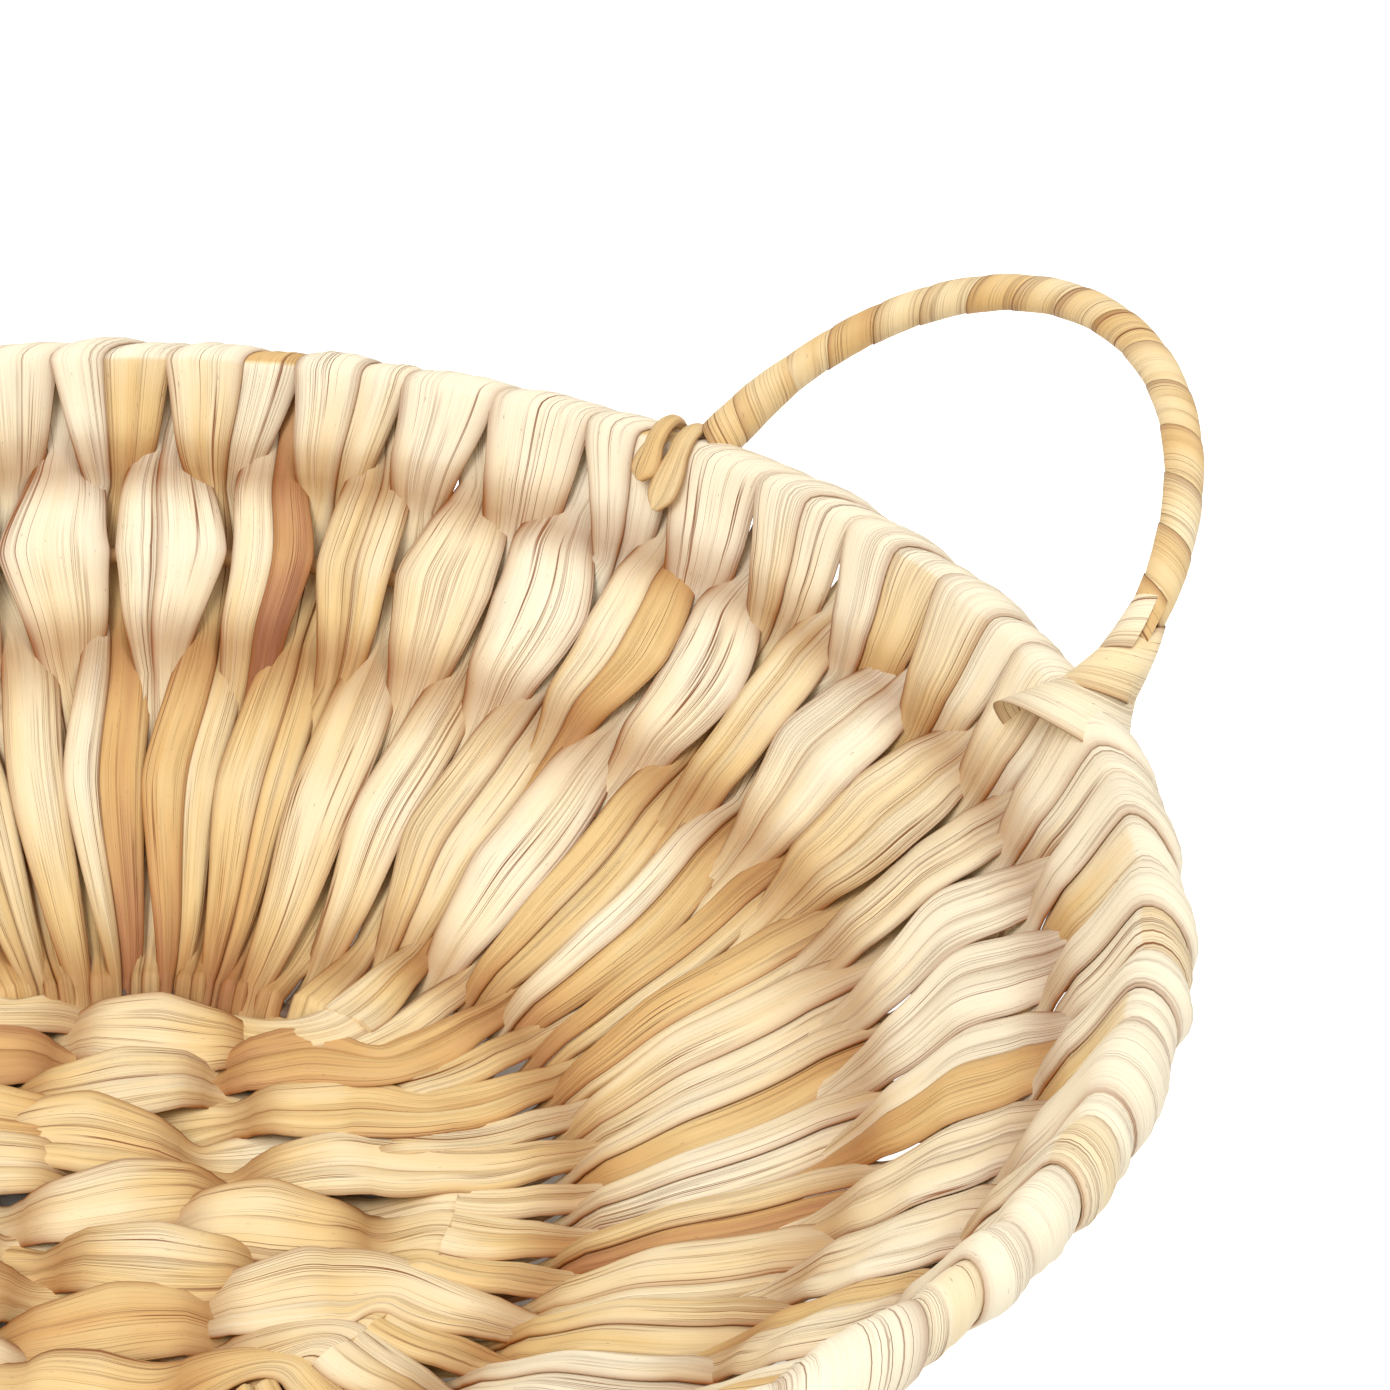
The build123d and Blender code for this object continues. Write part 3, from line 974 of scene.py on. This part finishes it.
stalk_look = stalk_material("Dried stalk", STALK_COLOURS)
strip_look = stalk_material("Leaf strip", STRIP_COLOURS)
wire_look = wire_material("Dark wire", srgb(70, 50, 36), srgb(112, 82, 54))
hoop_look = wire_material("Wound hoop", srgb(168, 118, 66), srgb(214, 168, 108))
sweep = stalk_tree()
STALK_INPUTS = {"Sides": 28, "Pleat depth": 0.0007, "Edge wander": 0.06}
STRIP_INPUTS = {"Sides": 20, "Pleat depth": 0.00012, "Edge wander": 0.05}

# Stalks of another colour: row, whether it is the inner leg, part and how much browner
ACCENTS = {}
for row, inner, part, tone in (
    (7, False, "right", 0.60), (8, True, "right", 0.50), (10, False, "left", 0.35),
    (3, False, "right", 0.50), (3, False, "left", 0.16), (-2, True, "left", 0.25),
    (-5, False, "right", 0.45), (-6, True, "right", 0.40), (7, True, "left", 0.22),
    (-4, True, "right", 0.28), (0, True, "right", 0.35), (-1, True, "left", 0.20),
    (12, True, "left", 0.45), (16, False, "right", 0.5), (21, True, "left", 0.4),
    (27, False, "left", 0.45), (31, True, "right", 0.5), (35, False, "right", 0.4),
    (-8, False, "left", 0.3),
):
    ACCENTS.setdefault(row % ROWS, []).append((inner, part, tone))


def accents_of(row, strand):
    """The accents of one stalk, each on its own leg. The inner leg comes first along the stalk."""
    station = np.arange(len(strand["points"]))
    first = station < LEG
    fade = np.clip((station[-1] - station) / ACCENT_FADE - ACCENT_END, 0, 1)
    return [(part, tone * fade * np.where(first, inner, not inner))
            for inner, part, tone in ACCENTS.get(row, ())]


LEG = len(climb(0))
pieces = []
wall_strands, base_strands = {}, []
for index in range(BASE_STALKS):
    left, right = left_row(index), right_row(index)
    tone, seed = TONES[right], SEEDS[right]
    TONES[left], SEEDS[left] = tone, seed
    first = wall_stalk(left, True, tone, seed)
    middle = base_stalk(index, tone, seed, first["run"][-1])
    last = wall_stalk(right, True, tone, seed)
    gaps = [strand["run"][-1] - strand["run"] for strand in (first, last)]
    last["run"] = middle["run"][-1] + last["run"][-1] - last["run"]
    first, last = (swollen(strand, index, gap) for strand, gap in zip((first, last), gaps))
    wall_strands[left] = slices(flipped(first), right, accents_of(left, first))
    wall_strands[right] = slices(last, right, accents_of(right, last))
    base_strands.append(slices(middle, right))

for number, node in enumerate(PANELS):
    strands = []
    for row in range(number * ROWS_PER_PANEL, (number + 1) * ROWS_PER_PANEL):
        if row not in wall_strands:
            stalk = wall_stalk(row, False, TONES[row], SEEDS[row])
            wall_strands[row] = slices(stalk, row, accents_of(row, stalk))
        strands += wall_strands[row]
    piece = make_piece("stalks_" + node, strands, sweep, STALK_INPUTS, stalk_look)
    pieces.append((piece, node, "stalk"))

for number, node in enumerate(BASE_ROWS):
    strands = base_strands[2 * number] + base_strands[2 * number + 1]
    piece = make_piece("stalks_" + node, strands, sweep, STALK_INPUTS, stalk_look)
    pieces.append((piece, node, "stalk"))

HANDLE_LENGTH = handle_line()[2][-1]
WRAP_SPAN = HANDLE_LENGTH - 2 * BINDING_LENGTH
for name, swing in (("right", 0.0), ("left", pi)):
    wrap = wound_strip(BINDING_LENGTH, BINDING_LENGTH + WRAP_SPAN, turns=WRAP_SPAN / STRIP_LEAD,
                       radii=(WRAP_RADIUS, WRAP_RADIUS), tone=0.30, seed=0.31)
    far_foot = [
        wound_strip(FAR_FOOT_START, BINDING_LENGTH + BINDING_LAP, turns=1.6, radii=FAR_FOOT_RADII,
                    tone=0.24, seed=0.7),
        tie(ROWS_BETWEEN_FEET / 2 + 0.10, run_down=2.66, width=0.0066, tone=0.34, seed=0.2),
        tie(ROWS_BETWEEN_FEET / 2 + 0.36, run_down=2.78, width=0.0060, tone=0.40, seed=0.4),
    ]
    collar = wound_strip(HANDLE_LENGTH + BINDING_LAP, HANDLE_LENGTH - BINDING_LENGTH - BINDING_LAP,
                         turns=2.6, radii=COLLAR_RADII, tone=0.08, seed=0.5)
    for node, strands in (
        (f"handle_wrap_{name}", [wrap]),
        (f"foot_binding_{name}_1", far_foot),
        (f"foot_binding_{name}_2", [collar]),
    ):
        strands = [turned(strand, swing) for strand in strands]
        piece = make_piece("strip_" + node, strands, sweep, STRIP_INPUTS, strip_look)
        pieces.append((piece, node, "leaf_wrap"))

for piece, node, slot in pieces:
    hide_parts(node)
    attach(piece, "root")

for name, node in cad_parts.items():
    if not node.hide_render:
        for slot in node.material_slots:
            slot.material = hoop_look if name.endswith("_hoop") else wire_look

# Floor, light and camera

def build_stage():
    """The white floor and the lights round the basket."""
    bpy.ops.mesh.primitive_plane_add(size=FLOOR_SIZE, location=(0, 0, 0))
    floor = bpy.context.object
    floor.name = "floor"
    tree = MaterialTree("White floor")
    place = tree.node("ShaderNodeTexCoord", out=3)
    beyond = tree.node("ShaderNodeVectorMath", {"operation": "LENGTH"}, place, out=1).smooth(*GLOW_REACH)
    glow = tree.mix(tree.node("ShaderNodeLightPath") * beyond, (0, 0, 0, 1), GLOW)
    floor.data.materials.append(tree.set(Base_Color=FLOOR_WHITE, Roughness=0.9, Emission_Color=glow,
                                         Emission_Strength=1.0))
    world = bpy.data.worlds.new("Studio")
    bpy.context.scene.world = world
    world.use_nodes = True
    sky = world.node_tree.nodes["Background"]
    sky.inputs[0].default_value = (1, 1, 1, 1)
    sky.inputs[1].default_value = SKY_STRENGTH
    for name, place, size, power in LAMPS:
        lamp = bpy.data.lights.new(name, "AREA")
        lamp.energy = power
        lamp.size = size
        holder = bpy.data.objects.new(name, lamp)
        holder.location = place
        holder.rotation_euler = (Vector(LAMP_AIM) - Vector(place)).to_track_quat("-Z", "Y").to_euler()
        bpy.context.scene.collection.objects.link(holder)


def build_camera():
    """The camera that took the photo."""
    camera = bpy.data.cameras.new("camera")
    camera.sensor_width = 36
    camera.lens = CAMERA_LENS
    camera.clip_start = 0.01
    holder = bpy.data.objects.new("camera", camera)
    flat = CAMERA_DISTANCE * cos(CAMERA_ELEVATION)
    holder.location = (flat * cos(CAMERA_AZIMUTH), flat * sin(CAMERA_AZIMUTH),
                       LEVELS[3] + CAMERA_DISTANCE * sin(CAMERA_ELEVATION))
    level = Euler((pi / 2 - CAMERA_PITCH, 0, CAMERA_HEADING)).to_matrix()
    holder.rotation_euler = (level @ Matrix.Rotation(CAMERA_ROLL, 3, "Z")).to_euler()
    bpy.context.scene.collection.objects.link(holder)
    bpy.context.scene.camera = holder


build_stage()
build_camera()
bpy.context.scene.view_settings.view_transform = "Standard"
